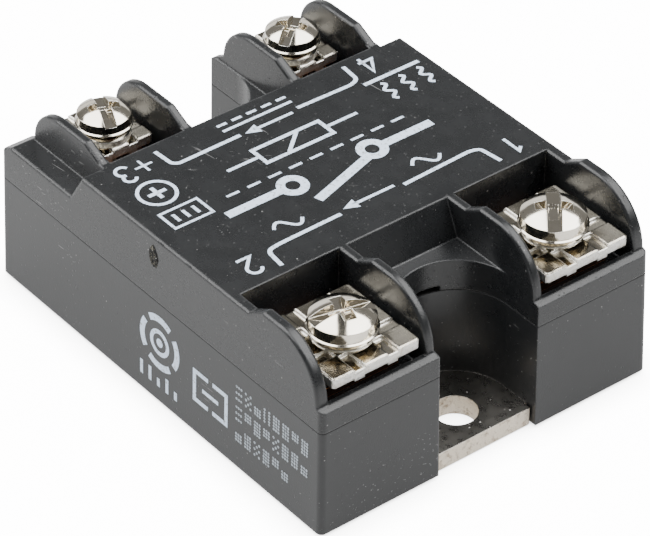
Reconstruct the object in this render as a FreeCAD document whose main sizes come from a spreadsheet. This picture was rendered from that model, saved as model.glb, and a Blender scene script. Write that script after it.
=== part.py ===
import FreeCAD
import Part
import math
import os
import Sketcher

# Panel-mount solid state relay: a metal base plate, a two-piece moulded case with a
# notch at each end, four screw terminals with saddle clamps, and the power circuit,
# control board and gel inside. Millimetres, +Z up. +X is the output end (terminals
# 1 and 2), -X is the input end (terminals 3 and 4). The origin is the centre of the
# base plate's underside.

SIZES = {
    # case
    "case_length": 58.4,
    "case_width": 45.7,
    "case_bottom": 0.45,
    "seam_height": 13.75,
    "top_height": 22.0,
    "fin_height": 23.4,
    "draft_angle": 1.4,
    "wall": 1.6,
    "roof": 1.8,
    "corner_radius": 0.7,
    "edge_bevel": 0.35,
    # notches over the mounting holes
    "hole_place": 23.8,
    "notch_radius": 6.8,
    "notch_ledge": 17.7,
    "vent_half_width": 2.65,
    "vent_height": 0.65,
    # base plate
    "plate_thick": 2.5,
    "plate_length": 56.8,
    "tongue_width": 13.2,
    "hole_radius": 2.5,
    # output terminals
    "out_place_x": 22.1,
    "out_place_y": 14.45,
    "out_bay_back": 13.35,
    "out_bay_front": 27.55,
    "out_bay_inner": 8.0,
    "out_bay_outer": 20.9,
    "out_sill": 16.6,
    "out_floor": 14.9,
    "out_strip": 1.2,
    "out_strip_end": 25.4,
    "out_clamp_place": 21.8,
    "out_clamp_x": 12.0,
    "out_clamp_y": 11.5,
    "out_clamp_bottom": 18.0,
    "out_collar_radius": 3.4,
    "out_collar_height": 0.75,
    "out_collar_bevel": 0.6,
    "out_head_bottom": 20.1,
    "out_head_radius": 3.92,
    "out_head_side": 1.5,
    "out_head_dome": 1.1,
    "out_shank_radius": 2.08,
    "out_shank_length": 8.0,
    # input terminals
    "in_place_x": 21.9,
    "in_place_y": 13.15,
    "in_bay_back": 13.85,
    "in_bay_front": 27.6,
    "in_bay_inner": 8.2,
    "in_bay_outer": 18.1,
    "in_fin_inner": 7.0,
    "in_fin_outer": 19.3,
    "in_sill": 16.6,
    "in_ledge": 18.45,
    "in_floor": 14.9,
    "in_strip": 1.2,
    "in_clamp_place": 23.1,
    "in_clamp_x": 8.6,
    "in_clamp_y": 8.8,
    "in_clamp_bottom": 18.0,
    "in_collar_radius": 2.95,
    "in_collar_height": 1.55,
    "in_collar_bevel": 0.75,
    "in_head_bottom": 20.92,
    "in_head_radius": 3.34,
    "in_head_side": 1.3,
    "in_head_dome": 0.95,
    "in_shank_radius": 1.75,
    "in_shank_length": 9.0,
    # screws
    "thread_pitch": 0.79375,
    "thread_gap": 0.05,
    "clamp_thick": 1.2,
    "press_depth": 0.35,
    # power circuit
    "copper_thick": 0.3,
    "ceramic_thick": 0.65,
    "die_thick": 0.35,
    "die_side": 7.0,
    "strap_thick": 0.5,
    "gel_top": 8.0,
    # control board
    "board_bottom": 10.4,
    "board_thick": 1.6,
}


class Size:
    """A length that knows both its number and the sheet expression that drives it."""

    def __init__(self, number, text):
        self.number = number
        self.text = text

    @staticmethod
    def of(other):
        if isinstance(other, Size):
            return other
        return Size(float(other), "({:g})".format(other))

    def _join(self, other, sign, number):
        return Size(number, "({} {} {})".format(self.text, sign, other.text))

    def __add__(self, other):
        other = Size.of(other)
        return self._join(other, "+", self.number + other.number)

    def __sub__(self, other):
        other = Size.of(other)
        return self._join(other, "-", self.number - other.number)

    def __mul__(self, other):
        other = Size.of(other)
        return self._join(other, "*", self.number * other.number)

    def __truediv__(self, other):
        other = Size.of(other)
        return self._join(other, "/", self.number / other.number)

    def __neg__(self):
        return self * -1

    __radd__ = __add__
    __rmul__ = __mul__

    def __rsub__(self, other):
        return Size.of(other) - self


def size(alias):
    return Size(float(SIZES[alias]), "Sizes." + alias)


# ---------------------------------------------------------------- document helpers

doc = FreeCAD.newDocument("solid_state_relay")
sheet = doc.addObject("Spreadsheet::Sheet", "Sizes")
for row, (alias, value) in enumerate(SIZES.items(), start=1):
    sheet.set("A{}".format(row), alias)
    sheet.set("B{}".format(row), str(value))
    sheet.setAlias("B{}".format(row), alias)
doc.recompute()

NODES = []
SILL_SLOPE = 0.33


def node(thing, label):
    """Marks an object of the document as a sub-part and names its file."""
    thing.Label = label
    NODES.append(thing)
    return thing


def new_body(label):
    return node(doc.addObject("PartDesign::Body", label), label)


def place(thing, x, y, z, turn=0.0):
    """Puts a sub-part at a position, turned about its own Z."""
    axis = FreeCAD.Vector(0, 0, 1)
    spot = FreeCAD.Vector(Size.of(x).number, Size.of(y).number, Size.of(z).number)
    thing.Placement = FreeCAD.Placement(spot, FreeCAD.Rotation(axis, turn))
    for letter, value in (("x", x), ("y", y), ("z", z)):
        thing.setExpression("Placement.Base." + letter, Size.of(value).text)


def origin_plane(body, role):
    for feature in body.Origin.OriginFeatures:
        if feature.Role == role:
            return feature
    raise RuntimeError("no plane " + role)


def new_sketch(body, plane, offset):
    """A sketch parallel to an origin plane; the offset is along +Z, +Y or +X."""
    sketch = body.newObject("Sketcher::SketchObject", body.Name + "_sketch")
    sketch.AttachmentSupport = [(origin_plane(body, plane + "_Plane"), "")]
    sketch.MapMode = "FlatFace"
    offset = Size.of(offset)
    if plane == "XZ":
        offset = -offset
    sketch.AttachmentOffset = FreeCAD.Placement(
        FreeCAD.Vector(0, 0, offset.number), FreeCAD.Rotation()
    )
    sketch.setExpression("AttachmentOffset.Base.z", offset.text)
    return sketch


def pin_point(sketch, edge, end, spot):
    """Holds a point of a sketch at a position that the sheet drives."""
    for kind, value in (("DistanceX", spot[0]), ("DistanceY", spot[1])):
        value = Size.of(value)
        index = sketch.addConstraint(
            Sketcher.Constraint(kind, -1, 1, edge, end, value.number)
        )
        sketch.setExpression("Constraints[{}]".format(index), value.text)


def arc_between(start, end, radius):
    """A short arc of the given radius; a positive radius turns left."""
    middle = (start + end) * 0.5
    chord = end - start
    side = FreeCAD.Vector(-chord.y, chord.x, 0).normalize()
    reach = math.sqrt(radius * radius - chord.Length ** 2 / 4)
    centre = middle + side * math.copysign(reach, radius)
    return Part.Arc(start, centre - side * radius, end)


def outline(corners):
    """A closed outline. A corner is (x, y), or (x, y, r) where the edge that leaves
    it is an arc of radius r, positive when it turns left."""

    def draw(sketch):
        spots = [
            FreeCAD.Vector(Size.of(c[0]).number, Size.of(c[1]).number, 0)
            for c in corners
        ]
        first = sketch.GeometryCount
        count = len(corners)
        for index, corner in enumerate(corners):
            start = spots[index]
            end = spots[(index + 1) % count]
            if len(corner) == 2:
                sketch.addGeometry(Part.LineSegment(start, end), False)
                continue
            radius = Size.of(corner[2]).number
            sketch.addGeometry(arc_between(start, end, radius), False)
        for index, corner in enumerate(corners):
            edge = first + index
            follower = first + (index + 1) % count
            turns_left = len(corner) == 2 or Size.of(corner[2]).number > 0
            leave = 2 if turns_left else 1
            after = corners[(index + 1) % count]
            enters_left = len(after) == 2 or Size.of(after[2]).number > 0
            arrive = 1 if enters_left else 2
            sketch.addConstraint(
                Sketcher.Constraint("Coincident", edge, leave, follower, arrive)
            )
            start_end = 1 if turns_left else 2
            pin_point(sketch, edge, start_end, corner)
            if len(corner) == 3:
                radius = Size.of(corner[2])
                if radius.number < 0:
                    radius = -radius
                mark = sketch.addConstraint(
                    Sketcher.Constraint("Radius", edge, radius.number)
                )
                sketch.setExpression("Constraints[{}]".format(mark), radius.text)

    return draw


def rectangle(x0, y0, x1, y1):
    return outline([(x0, y0), (x1, y0), (x1, y1), (x0, y1)])


def circle(x, y, radius):
    def draw(sketch):
        x_size, y_size, r_size = Size.of(x), Size.of(y), Size.of(radius)
        centre = FreeCAD.Vector(x_size.number, y_size.number, 0)
        normal = FreeCAD.Vector(0, 0, 1)
        ring = sketch.addGeometry(Part.Circle(centre, normal, r_size.number), False)
        pin_point(sketch, ring, 3, (x_size, y_size))
        mark = sketch.addConstraint(Sketcher.Constraint("Radius", ring, r_size.number))
        sketch.setExpression("Constraints[{}]".format(mark), r_size.text)

    return draw


def mirrored(maker, *numbers):
    """The same outline on both sides of the X axis: y values change sign."""
    x0, y0, x1, y1 = numbers
    return [maker(x0, y0, x1, y1), maker(x0, -y1, x1, -y0)]


def extrude(kind, body, plane, start, depth, outlines):
    sketch = new_sketch(body, plane, start)
    for draw in outlines:
        draw(sketch)
    doc.recompute()
    feature = body.newObject("PartDesign::" + kind, body.Name + "_" + kind.lower())
    feature.Profile = sketch
    depth = Size.of(depth)
    feature.Length = depth.number
    feature.setExpression("Length", depth.text)
    feature.Reversed = (plane == "XZ") == (kind == "Pad")
    return feature


def solid_volume(body):
    if body.Shape.isNull():
        return 0.0
    return body.Shape.Volume


def add(body, plane, start, depth, *outlines, taper=None):
    """Adds a prism from start, going depth along +Z, +Y or +X."""
    feature = extrude("Pad", body, plane, start, depth, outlines)
    if taper is not None:
        feature.TaperAngle = taper.number
        feature.setExpression("TaperAngle", taper.text)
    before = solid_volume(body)
    doc.recompute()
    if not solid_volume(body) > before + 1e-6:
        raise RuntimeError("a pad added nothing to " + body.Name)
    return feature


def cut(body, plane, start, depth, *outlines):
    """Cuts a prism from start, going depth along +Z, +Y or +X."""
    before = solid_volume(body)
    feature = extrude("Pocket", body, plane, start, depth, outlines)
    doc.recompute()
    if not solid_volume(body) < before - 1e-6:
        raise RuntimeError("a pocket cut nothing from " + body.Name)
    return feature


def revolve(kind, body, *outlines):
    """A profile in the XZ plane turned about the body's own Z axis."""
    sketch = new_sketch(body, "XZ", 0)
    for draw in outlines:
        draw(sketch)
    doc.recompute()
    feature = body.newObject("PartDesign::" + kind, body.Name + "_" + kind.lower())
    feature.Profile = sketch
    feature.ReferenceAxis = (sketch, ["V_Axis"])
    feature.Angle = 360.0
    doc.recompute()
    return feature


def dress(kind, body, amount, chosen):
    """Fillets or chamfers every edge of the body that the test chooses."""
    tip = body.Tip
    names = [
        "Edge{}".format(index)
        for index, edge in enumerate(tip.Shape.Edges, start=1)
        if chosen(edge)
    ]
    if not names:
        raise RuntimeError("no edge to dress on " + body.Name)
    feature = body.newObject("PartDesign::" + kind, body.Name + "_" + kind.lower())
    feature.Base = (tip, names)
    amount = Size.of(amount)
    prop = "Radius" if kind == "Fillet" else "Size"
    setattr(feature, prop, amount.number)
    feature.setExpression(prop, amount.text)
    doc.recompute()
    return feature


def normal_at(face, spot):
    u, v = face.Surface.parameter(spot)
    return face.normalAt(u, v)


def outer_corner(solid, edge):
    """The two face normals of an edge where the solid sticks out, otherwise None."""
    faces = solid.ancestorsOfType(edge, Part.Face)
    if len(faces) != 2:
        return None
    spot = edge.valueAt((edge.FirstParameter + edge.LastParameter) / 2)
    first, second = [normal_at(face, spot) for face in faces]
    if abs(first.dot(second)) > 0.9:
        return None
    if solid.isInside(spot + (first - second) * 0.05, 1e-4, False):
        return None
    return first, second


def near(value, target, reach=1e-3):
    return abs(value - target) < reach


def upright(edge):
    box = edge.BoundBox
    return box.ZLength > 1.0 and box.XLength < 1.0 and box.YLength < 1.0


# ---------------------------------------------------------------- base and case

def make_base_plate():
    body = new_body("base_plate")
    inside = size("case_length") / 2 - size("wall") - 0.15
    half_width = size("case_width") / 2 - size("wall") - 0.15
    end = size("plate_length") / 2
    tongue = size("tongue_width") / 2
    add(body, "XY", 0, size("plate_thick"),
        rectangle(-inside, -half_width, inside, half_width))
    add(body, "XY", 0, size("plate_thick"), rectangle(-end, -tongue, end, tongue))
    cut(body, "XY", 0, size("plate_thick"),
        circle(size("hole_place"), 0, size("hole_radius")))
    cut(body, "XY", 0, size("plate_thick"),
        circle(-size("hole_place"), 0, size("hole_radius")))
    cut(body, "XY", 0, size("plate_thick"),
        rectangle(-end - 1, -size("hole_radius"), -size("hole_place"),
                  size("hole_radius")))
    dress("Fillet", body, 0.35, lambda e: near(e.BoundBox.ZMax, 0)
          and e.BoundBox.DiagonalLength > 2 and not near(e.BoundBox.XLength, 5.0, 0.01))


def notch_outlines(radius, reach):
    """A U round each mounting hole, open towards that end of the case."""
    place_x = size("hole_place")
    return [
        outline([
            (place_x * side, -radius * side),
            (reach * side, -radius * side),
            (reach * side, radius * side),
            (place_x * side, radius * side, radius),
            ((place_x - radius) * side, Size.of(0), radius),
        ])
        for side in (1, -1)
    ]


def cut_notches(body, start, depth, radius):
    """Cuts the round-ended notch over each mounting hole."""
    cut(body, "XY", start, depth,
        *notch_outlines(radius, size("case_length") / 2 + 1))


def make_lower_case():
    body = new_body("lower_case")
    half_length = size("case_length") / 2
    half_width = size("case_width") / 2
    bottom = size("case_bottom")
    height = size("seam_height") - bottom
    wall = size("wall")
    add(body, "XY", bottom, height,
        rectangle(-half_length, -half_width, half_length, half_width),
        taper=-size("draft_angle"))
    dress("Fillet", body, size("corner_radius"), upright)
    inner_x = half_length - wall
    inner_y = half_width - wall
    cut(body, "XY", bottom, height, rectangle(-inner_x, -inner_y, inner_x, inner_y))
    wall_bottom = size("plate_thick")
    add(body, "XY", wall_bottom, size("seam_height") - wall_bottom,
        *notch_outlines(size("notch_radius") + wall, inner_x + 0.5))
    cut_notches(body, bottom, height, size("notch_radius"))
    shelf_depth = 2.5
    for x in (-9.5, 9.5):
        add(body, "XY", size("board_bottom") - 2, 2,
            *mirrored(rectangle, Size.of(x - 1.5), inner_y - shelf_depth,
                      Size.of(x + 1.5), inner_y + 0.2))


def fin_and_top_profile():
    """The region above the fins and the label face, seen from the side (X, Z)."""
    top = size("top_height")
    fin = size("fin_height")
    sky = fin + 5
    end = size("case_length") / 2 + 2
    out_sill = size("out_sill")
    in_ledge = size("in_ledge")
    return outline([
        (-end, sky),
        (-end, in_ledge - 2.5),
        (Size.of(-26.95), in_ledge, in_ledge - fin),
        (fin - in_ledge - 26.95, fin),
        (Size.of(-17.0), fin),
        (Size.of(-14.0), top),
        (Size.of(16.3), top),
        (Size.of(18.7), fin),
        (out_sill - fin + 28.05, fin, out_sill - fin),
        (Size.of(28.05), out_sill),
        (end, out_sill - (end - 28.05) * SILL_SLOPE),
        (end, sky),
    ])


def make_top_cover():
    body = new_body("top_cover")
    seam = size("seam_height")
    fin = size("fin_height")
    rise = (seam - size("case_bottom")) * math.tan(math.radians(1.4))
    half_length = size("case_length") / 2 - rise
    half_width = size("case_width") / 2 - rise
    add(body, "XY", seam, fin - seam,
        rectangle(-half_length, -half_width, half_length, half_width),
        taper=-size("draft_angle"))
    dress("Fillet", body, size("corner_radius"), upright)
    width = size("case_width") + 4
    cut(body, "XZ", -width / 2, width, fin_and_top_profile())
    cut_label_notches(body)
    cut_bays(body)
    cut_input_ledges(body)
    cut_notches(body, seam, size("notch_ledge") - seam + 0.5, size("notch_radius"))
    bevel_crests(body)
    hollow_cover(body)
    add_screw_wells(body)
    cut_leg_slots(body)
    for side in (1, -1):
        near_x = size("hole_place") - size("notch_radius") - 1.2
        far_x = size("hole_place")
        low, high = sorted((near_x * side, far_x * side), key=lambda s: s.number)
        cut(body, "XY", seam, size("vent_height"),
            rectangle(low, -size("vent_half_width"), high, size("vent_half_width")))


def cut_label_notches(body):
    """Cuts the space between the inner fins, with its sloped back, at each end."""
    ledge = size("notch_ledge")
    top = size("top_height")
    radius = size("notch_radius")
    end = size("case_length") / 2 + 2
    sky = size("fin_height") + 5
    for side, back, half in ((1, size("out_bay_back"), radius),
                             (-1, size("in_bay_back"), size("in_fin_inner"))):
        corners = [
            (back * side, sky),
            (back * side, top),
            ((back + 1.95) * side, ledge),
            (end * side, ledge),
            (end * side, sky),
        ]
        cut(body, "XZ", -half, half * 2, outline(corners))


def cut_bays(body):
    """Cuts the four terminal bays down to their floors, and opens them at the end."""
    sky = size("fin_height") + 1
    end = size("case_length") / 2 + 1
    out_floor = size("out_floor")
    in_floor = size("in_floor")
    cut(body, "XY", out_floor, sky - out_floor,
        *mirrored(rectangle, size("out_bay_back"), size("out_bay_inner"),
                  size("out_bay_front"), size("out_bay_outer")))
    cut(body, "XY", size("out_sill"), sky - size("out_sill"),
        *mirrored(rectangle, size("out_bay_front") - 1, size("out_bay_inner"),
                  end, size("out_bay_outer")))
    cut(body, "XY", in_floor, sky - in_floor,
        *mirrored(rectangle, -size("in_bay_front"), size("in_bay_inner"),
                  -size("in_bay_back"), size("in_bay_outer")))
    cut(body, "XY", size("in_sill"), sky - size("in_sill"),
        *mirrored(rectangle, -end, size("in_bay_inner"),
                  -size("in_bay_front") + 1, size("in_bay_outer")))


def cut_input_ledges(body):
    """Lowers the strip outside each outer input fin, with a slope up to the top."""
    end = size("case_length") / 2 + 2
    sky = size("fin_height") + 5
    outer = size("in_fin_outer")
    ledge = size("in_ledge")
    depth = size("case_width") / 2 + 2 - outer
    corners = [
        (Size.of(-13.4), sky),
        (-end, sky),
        (-end, ledge - 2.5),
        (Size.of(-26.95), ledge),
        (Size.of(-15.6), ledge),
        (Size.of(-13.4), size("top_height")),
    ]
    cut(body, "XZ", outer, depth, outline(corners))
    cut(body, "XZ", -outer - depth, depth, outline(corners))


def bevel_crests(body):
    """Bevels the upper edges of the fins, the label face and the outer ledges."""
    solid = body.Tip.Shape
    ledge = size("in_ledge").number
    fin_face = size("in_fin_inner").number

    def on_crest(edge):
        box = edge.BoundBox
        beside_notch = abs(abs(box.Center.y) - fin_face) < 0.1
        low = ledge + 0.1 if beside_notch else ledge - 0.1
        if box.ZMax < low or edge.Length < 0.6:
            return False
        normals = outer_corner(solid, edge)
        if normals is None:
            return False
        sideways = sorted(abs(normal.y) for normal in normals)
        return sideways[0] < 0.05 and sideways[1] > 0.99

    dress("Fillet", body, size("edge_bevel"), on_crest)


def hollow_cover(body):
    """Opens the middle of the cover from below and adds its locating tongues."""
    seam = size("seam_height")
    inner_x = size("out_bay_back") - size("wall")
    inner_y = size("case_width") / 2 - size("wall") - 0.6
    roof_bottom = size("top_height") - size("roof")
    cut(body, "XY", seam, roof_bottom - seam,
        rectangle(-inner_x, -inner_y, inner_x, inner_y))
    cut(body, "XY", seam, 2.2, rectangle(-14.4, -5.6, 14.4, 5.6))
    tongue_outer = size("case_width") / 2 - size("wall") - 0.05
    add(body, "XY", seam - 1.2, 1.4,
        *mirrored(rectangle, Size.of(-6), tongue_outer - 0.9, Size.of(6), tongue_outer))


def add_screw_wells(body):
    """Adds the blind wells that keep the screw shanks clear of the gel."""
    wells = (
        (size("out_place_x"), size("out_place_y"), size("out_floor"),
         size("out_shank_radius")),
        (-size("in_place_x"), size("in_place_y"), size("in_floor"),
         size("in_shank_radius")),
    )
    depth = 6.0
    for x, y, floor, shank in wells:
        outer = shank + 1.5
        inner = shank + 0.4
        add(body, "XY", floor - depth, depth - 0.2, circle(x, y, outer),
            circle(x, -y, outer))
        cut(body, "XY", floor - depth + 0.8, depth, circle(x, y, inner),
            circle(x, -y, inner))


def leg_faces(which):
    """The X faces of a terminal's leg: the outer one first."""
    if which == "out":
        low = size("out_bay_back") + 0.4
        return low, low + size("out_strip")
    high = -size("in_bay_back") - 0.35
    return high - size("in_strip"), high


def cut_leg_slots(body):
    """Opens the bay floors where the terminals' legs go down into the case."""
    seam = size("seam_height")
    for which, floor, inner, outer in (
        ("out", size("out_floor"), 10.4, 15.6),
        ("in", size("in_floor"), 10.9, 15.5),
    ):
        low, high = leg_faces(which)
        cut(body, "XY", seam - 0.5, floor - seam + 1,
            *mirrored(rectangle, low - 0.1, Size.of(inner), high + 0.1,
                      Size.of(outer)))


# ---------------------------------------------------------------- terminals

def make_output_terminal(label, side):
    """A bent copper busbar: tapped plate in the bay, leg, and foot on its pad."""
    body = new_body(label)
    floor = size("out_floor")
    strip = size("out_strip")
    low, high = leg_faces("out")
    foot_bottom = pad_top()
    plate = span(side, size("out_place_y") - 4.9, size("out_place_y") + 4.9)
    add(body, "XY", floor, strip,
        rectangle(low, plate[0], size("out_strip_end"), plate[1]))
    leg = span(side, Size.of(10.5), Size.of(15.5))
    add(body, "XY", foot_bottom, floor - foot_bottom + 0.2,
        rectangle(low, leg[0], high, leg[1]))
    add(body, "XY", foot_bottom, strip, rectangle(high - 5.5, leg[0], high, leg[1]))
    dress("Fillet", body, 0.8, lambda e: near(e.BoundBox.XMin, low.number)
          and near(e.BoundBox.XMax, low.number) and e.BoundBox.ZMax < 5.5
          and e.BoundBox.YLength > 4 and near(e.BoundBox.ZMin, 4.95, 0.02))
    tapped = size("out_shank_radius") + size("thread_gap")
    cut(body, "XY", floor, strip,
        circle(size("out_place_x"), size("out_place_y") * side, tapped))


def span(side, inner, outer):
    """The two Y limits of something on the +Y (1) or -Y (-1) side, low one first."""
    if side > 0:
        return inner, outer
    return -outer, -inner


def make_input_terminal(label, side):
    """A bent copper strip: tapped plate in the bay, leg, and pin into the board."""
    body = new_body(label)
    floor = size("in_floor")
    strip = size("in_strip")
    low, high = leg_faces("in")
    plate = span(side, size("in_place_y") - 4.2, size("in_place_y") + 4.2)
    add(body, "XY", floor, strip,
        rectangle(-size("in_bay_front") + 0.4, plate[0], high, plate[1]))
    leg = span(side, Size.of(11.0), Size.of(15.4))
    leg_bottom = size("board_bottom") + size("board_thick") + 0.3
    add(body, "XY", leg_bottom, floor - leg_bottom + 0.2,
        rectangle(low, leg[0], high, leg[1]))
    pin = span(side, size("in_place_y") - 0.45, size("in_place_y") + 0.45)
    pin_bottom = size("board_bottom") - 0.8
    add(body, "XY", pin_bottom, leg_bottom - pin_bottom + 0.1,
        rectangle(low, pin[0], high, pin[1]))
    tapped = size("in_shank_radius") + size("thread_gap")
    cut(body, "XY", floor, strip,
        circle(-size("in_place_x"), size("in_place_y") * side, tapped))


def make_clamp(label, x, y, bottom, length, width, thick, shift, hole, collar,
               press_place, press):
    """A square saddle plate with a raised collar and two pressed grips on each side."""
    body = new_body(label)
    half_x = length / 2
    half_y = width / 2
    add(body, "XY", 0, thick, rectangle(-half_x, -half_y, half_x, half_y))
    dress("Fillet", body, 0.45, upright)
    dress("Fillet", body, 0.22, lambda e: near(e.BoundBox.ZMin, thick.number))
    collar_radius, collar_height, collar_bevel = collar
    add(body, "XY", thick - 0.1, collar_height + 0.1, circle(shift, 0, collar_radius))
    rim = (thick + collar_height).number
    dress("Chamfer", body, collar_bevel.number, lambda e: near(e.BoundBox.ZMin, rim))
    depth = size("press_depth")
    press_wide, press_long = press
    grips = []
    for sign_x in (-1, 1):
        for sign_y in (-1, 1):
            centre = press_place[1] * sign_y
            outer = half_x * sign_x
            inner = outer - press_long * sign_x
            low, high = sorted((outer.number, inner.number))
            grips.append((outer if low == outer.number else inner,
                          Size.of(centre - press_wide / 2),
                          inner if low == outer.number else outer,
                          Size.of(centre + press_wide / 2)))
            centre = press_place[0] * sign_x
            outer = half_y * sign_y
            inner = outer - press_long * sign_y
            low, high = sorted((outer.number, inner.number))
            grips.append((Size.of(centre - press_wide / 2),
                          outer if low == outer.number else inner,
                          Size.of(centre + press_wide / 2),
                          inner if low == outer.number else outer))
    edge = Size.of(0.05)
    for x0, y0, x1, y1 in grips:
        cut(body, "XY", thick - depth, depth + 0.1, rectangle(x0, y0, x1, y1))
        add(body, "XY", -depth, depth + 0.1,
            rectangle(x0 + edge, y0 + edge, x1 - edge, y1 - edge))
    cut(body, "XY", -depth, thick + depth + collar_height + 0.1,
        circle(shift, 0, hole))
    place(body, x, y, bottom)


def cross(half_long, half_wide):
    """The outline of a cross recess."""
    a, b = half_long, half_wide
    return outline([
        (a, -b), (a, b), (b, b), (b, a), (-b, a), (-b, b),
        (-a, b), (-a, -b), (-b, -b), (-b, -a), (b, -a), (b, -b),
    ])


def make_screw(label, x, y, which, turn):
    """A binding-head screw: low domed head with a thin lip, slot and cross recess, ringed shank."""
    body = new_body(label)
    radius = size(which + "_head_radius")
    side = size(which + "_head_side")
    dome = size(which + "_head_dome")
    shank = size(which + "_shank_radius")
    length = size(which + "_shank_length")
    top_radius = radius - 0.28
    ball = (top_radius * top_radius + dome * dome) / (dome * 2)
    revolve("Revolution", body, outline([
        (Size.of(0), -length),
        (shank - 0.4, -length),
        (shank, -length + 0.4),
        (shank, Size.of(0)),
        (radius - 0.15, Size.of(0)),
        (radius, Size.of(0.18)),
        (radius - 0.22, Size.of(0.31)),
        (top_radius, side, ball),
        (Size.of(0), side + dome),
    ]))
    pitch = size("thread_pitch")
    root = shank - 0.42
    half = pitch * 0.42
    rings = int((length.number - 1.6) / pitch.number)
    for ring in range(rings):
        middle = -length + 0.9 + pitch * ring
        revolve("Groove", body, outline([
            (root, middle),
            (shank + 0.01, middle - half),
            (shank + 0.01, middle + half),
        ]))
    top = side + dome
    half_slot = radius * 0.205
    cut(body, "XY", top - 1.15, 1.5,
        rectangle(-radius - 1, -half_slot, radius + 1, half_slot))
    wide_cross = new_sketch(body, "XY", top + 0.05)
    cross(radius * 0.62, radius * 0.19)(wide_cross)
    deep_cross = new_sketch(body, "XY", top - 1.45)
    cross(radius * 0.29, radius * 0.13)(deep_cross)
    doc.recompute()
    before = solid_volume(body)
    recess = body.newObject("PartDesign::SubtractiveLoft", label + "_recess")
    recess.Profile = wide_cross
    recess.Sections = [deep_cross]
    recess.Ruled = True
    doc.recompute()
    if not solid_volume(body) < before - 1e-6:
        raise RuntimeError("the recess cut nothing from " + label)
    place(body, x, y, size(which + "_head_bottom"), turn)


# ---------------------------------------------------------------- power circuit

def base_copper_top():
    return size("plate_thick") + size("copper_thick")


def ceramic_top():
    return base_copper_top() + size("ceramic_thick")


def pad_top():
    return ceramic_top() + size("copper_thick")


def die_top():
    return pad_top() + size("die_thick")


def make_substrate():
    ceramic = new_body("ceramic_substrate")
    add(ceramic, "XY", base_copper_top(), size("ceramic_thick"),
        rectangle(-11.5, -16.5, 15.2, 16.5))
    copper = new_body("substrate_copper")
    add(copper, "XY", size("plate_thick"), size("copper_thick"),
        rectangle(-10.8, -15.8, 14.4, 15.8))
    pads = []
    for side in (1, -1):
        pad = doc.addObject("PartDesign::Body", "pad")
        edges = span(side, Size.of(0.9), Size.of(15.8))
        add(pad, "XY", ceramic_top(), size("copper_thick"),
            rectangle(-10.5, edges[0], 15.0, edges[1]))
        pads.append(pad)
    group("circuit_pads", pads)


THYRISTORS = (("1", 5.5, 6.4, 1), ("2", -2.5, -6.4, -1))


def make_thyristors():
    half = size("die_side") / 2
    for number, x, y, side in THYRISTORS:
        die = new_body("thyristor_" + number)
        add(die, "XY", pad_top(), size("die_thick"),
            rectangle(x - half, y - half, x + half, y + half))
        strap = new_body("jumper_strap_" + number)
        thick = size("strap_thick")
        low = pad_top()
        high = die_top()
        crown = high + 2.2
        reach = span(side, Size.of(4.6), Size.of(8.4))
        far_side = span(-side, Size.of(2.4), Size.of(5.6))
        wide = 1.6
        add(strap, "XY", high, thick, rectangle(x - wide, reach[0], x + wide, reach[1]))
        add(strap, "XY", low, thick,
            rectangle(x - wide, far_side[0], x + wide, far_side[1]))
        near_post = span(side, Size.of(4.6), 4.6 + thick)
        far_post = span(-side, 5.6 - thick, Size.of(5.6))
        add(strap, "XY", high, crown - high,
            rectangle(x - wide, near_post[0], x + wide, near_post[1]))
        add(strap, "XY", low, crown - low,
            rectangle(x - wide, far_post[0], x + wide, far_post[1]))
        bridge = sorted((4.6 * side + thick.number * side, -5.6 * side))
        add(strap, "XY", crown - thick, thick,
            rectangle(x - wide, Size.of(bridge[0]), x + wide, Size.of(bridge[1])))


def gate_spots():
    """Where the four gate wires stand: a gate and a cathode wire at each die."""
    for number, x, y, side in THYRISTORS:
        yield x + 2.6, y + 2.6 * side
        yield x - 2.6, y + 2.6 * side


def cylinder(name, x, y, z, radius, height, axis=None):
    thing = doc.addObject("Part::Cylinder", name)
    for prop, value in (("Radius", radius), ("Height", height)):
        value = Size.of(value)
        setattr(thing, prop, value.number)
        thing.setExpression(prop, value.text)
    place(thing, x, y, z)
    if axis is not None:
        spin = FreeCAD.Rotation(FreeCAD.Vector(0, 0, 1), FreeCAD.Vector(*axis))
        thing.Placement = FreeCAD.Placement(thing.Placement.Base, spin)
    return thing


def block(name, x, y, z, length, width, height):
    """A box centred on x and y, standing on z."""
    thing = doc.addObject("Part::Box", name)
    for prop, value in (("Length", length), ("Width", width), ("Height", height)):
        value = Size.of(value)
        setattr(thing, prop, value.number)
        thing.setExpression(prop, value.text)
    place(thing, Size.of(x) - Size.of(length) / 2, Size.of(y) - Size.of(width) / 2, z)
    return thing


def fuse(name, things):
    joined = doc.addObject("Part::MultiFuse", name)
    joined.Shapes = things
    joined.Refine = False
    return joined


def group(label, things):
    """Separate solids that share one node."""
    bundle = doc.addObject("Part::Compound", label)
    bundle.Links = things
    return node(bundle, label)


def board_top():
    return size("board_bottom") + size("board_thick")


def make_gate_pins():
    height = board_top() + 0.7 - die_top()
    pins = [
        cylinder("gate_pin", x, y, die_top(), 0.3, height) for x, y in gate_spots()
    ]
    group("gate_pins", pins)


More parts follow.
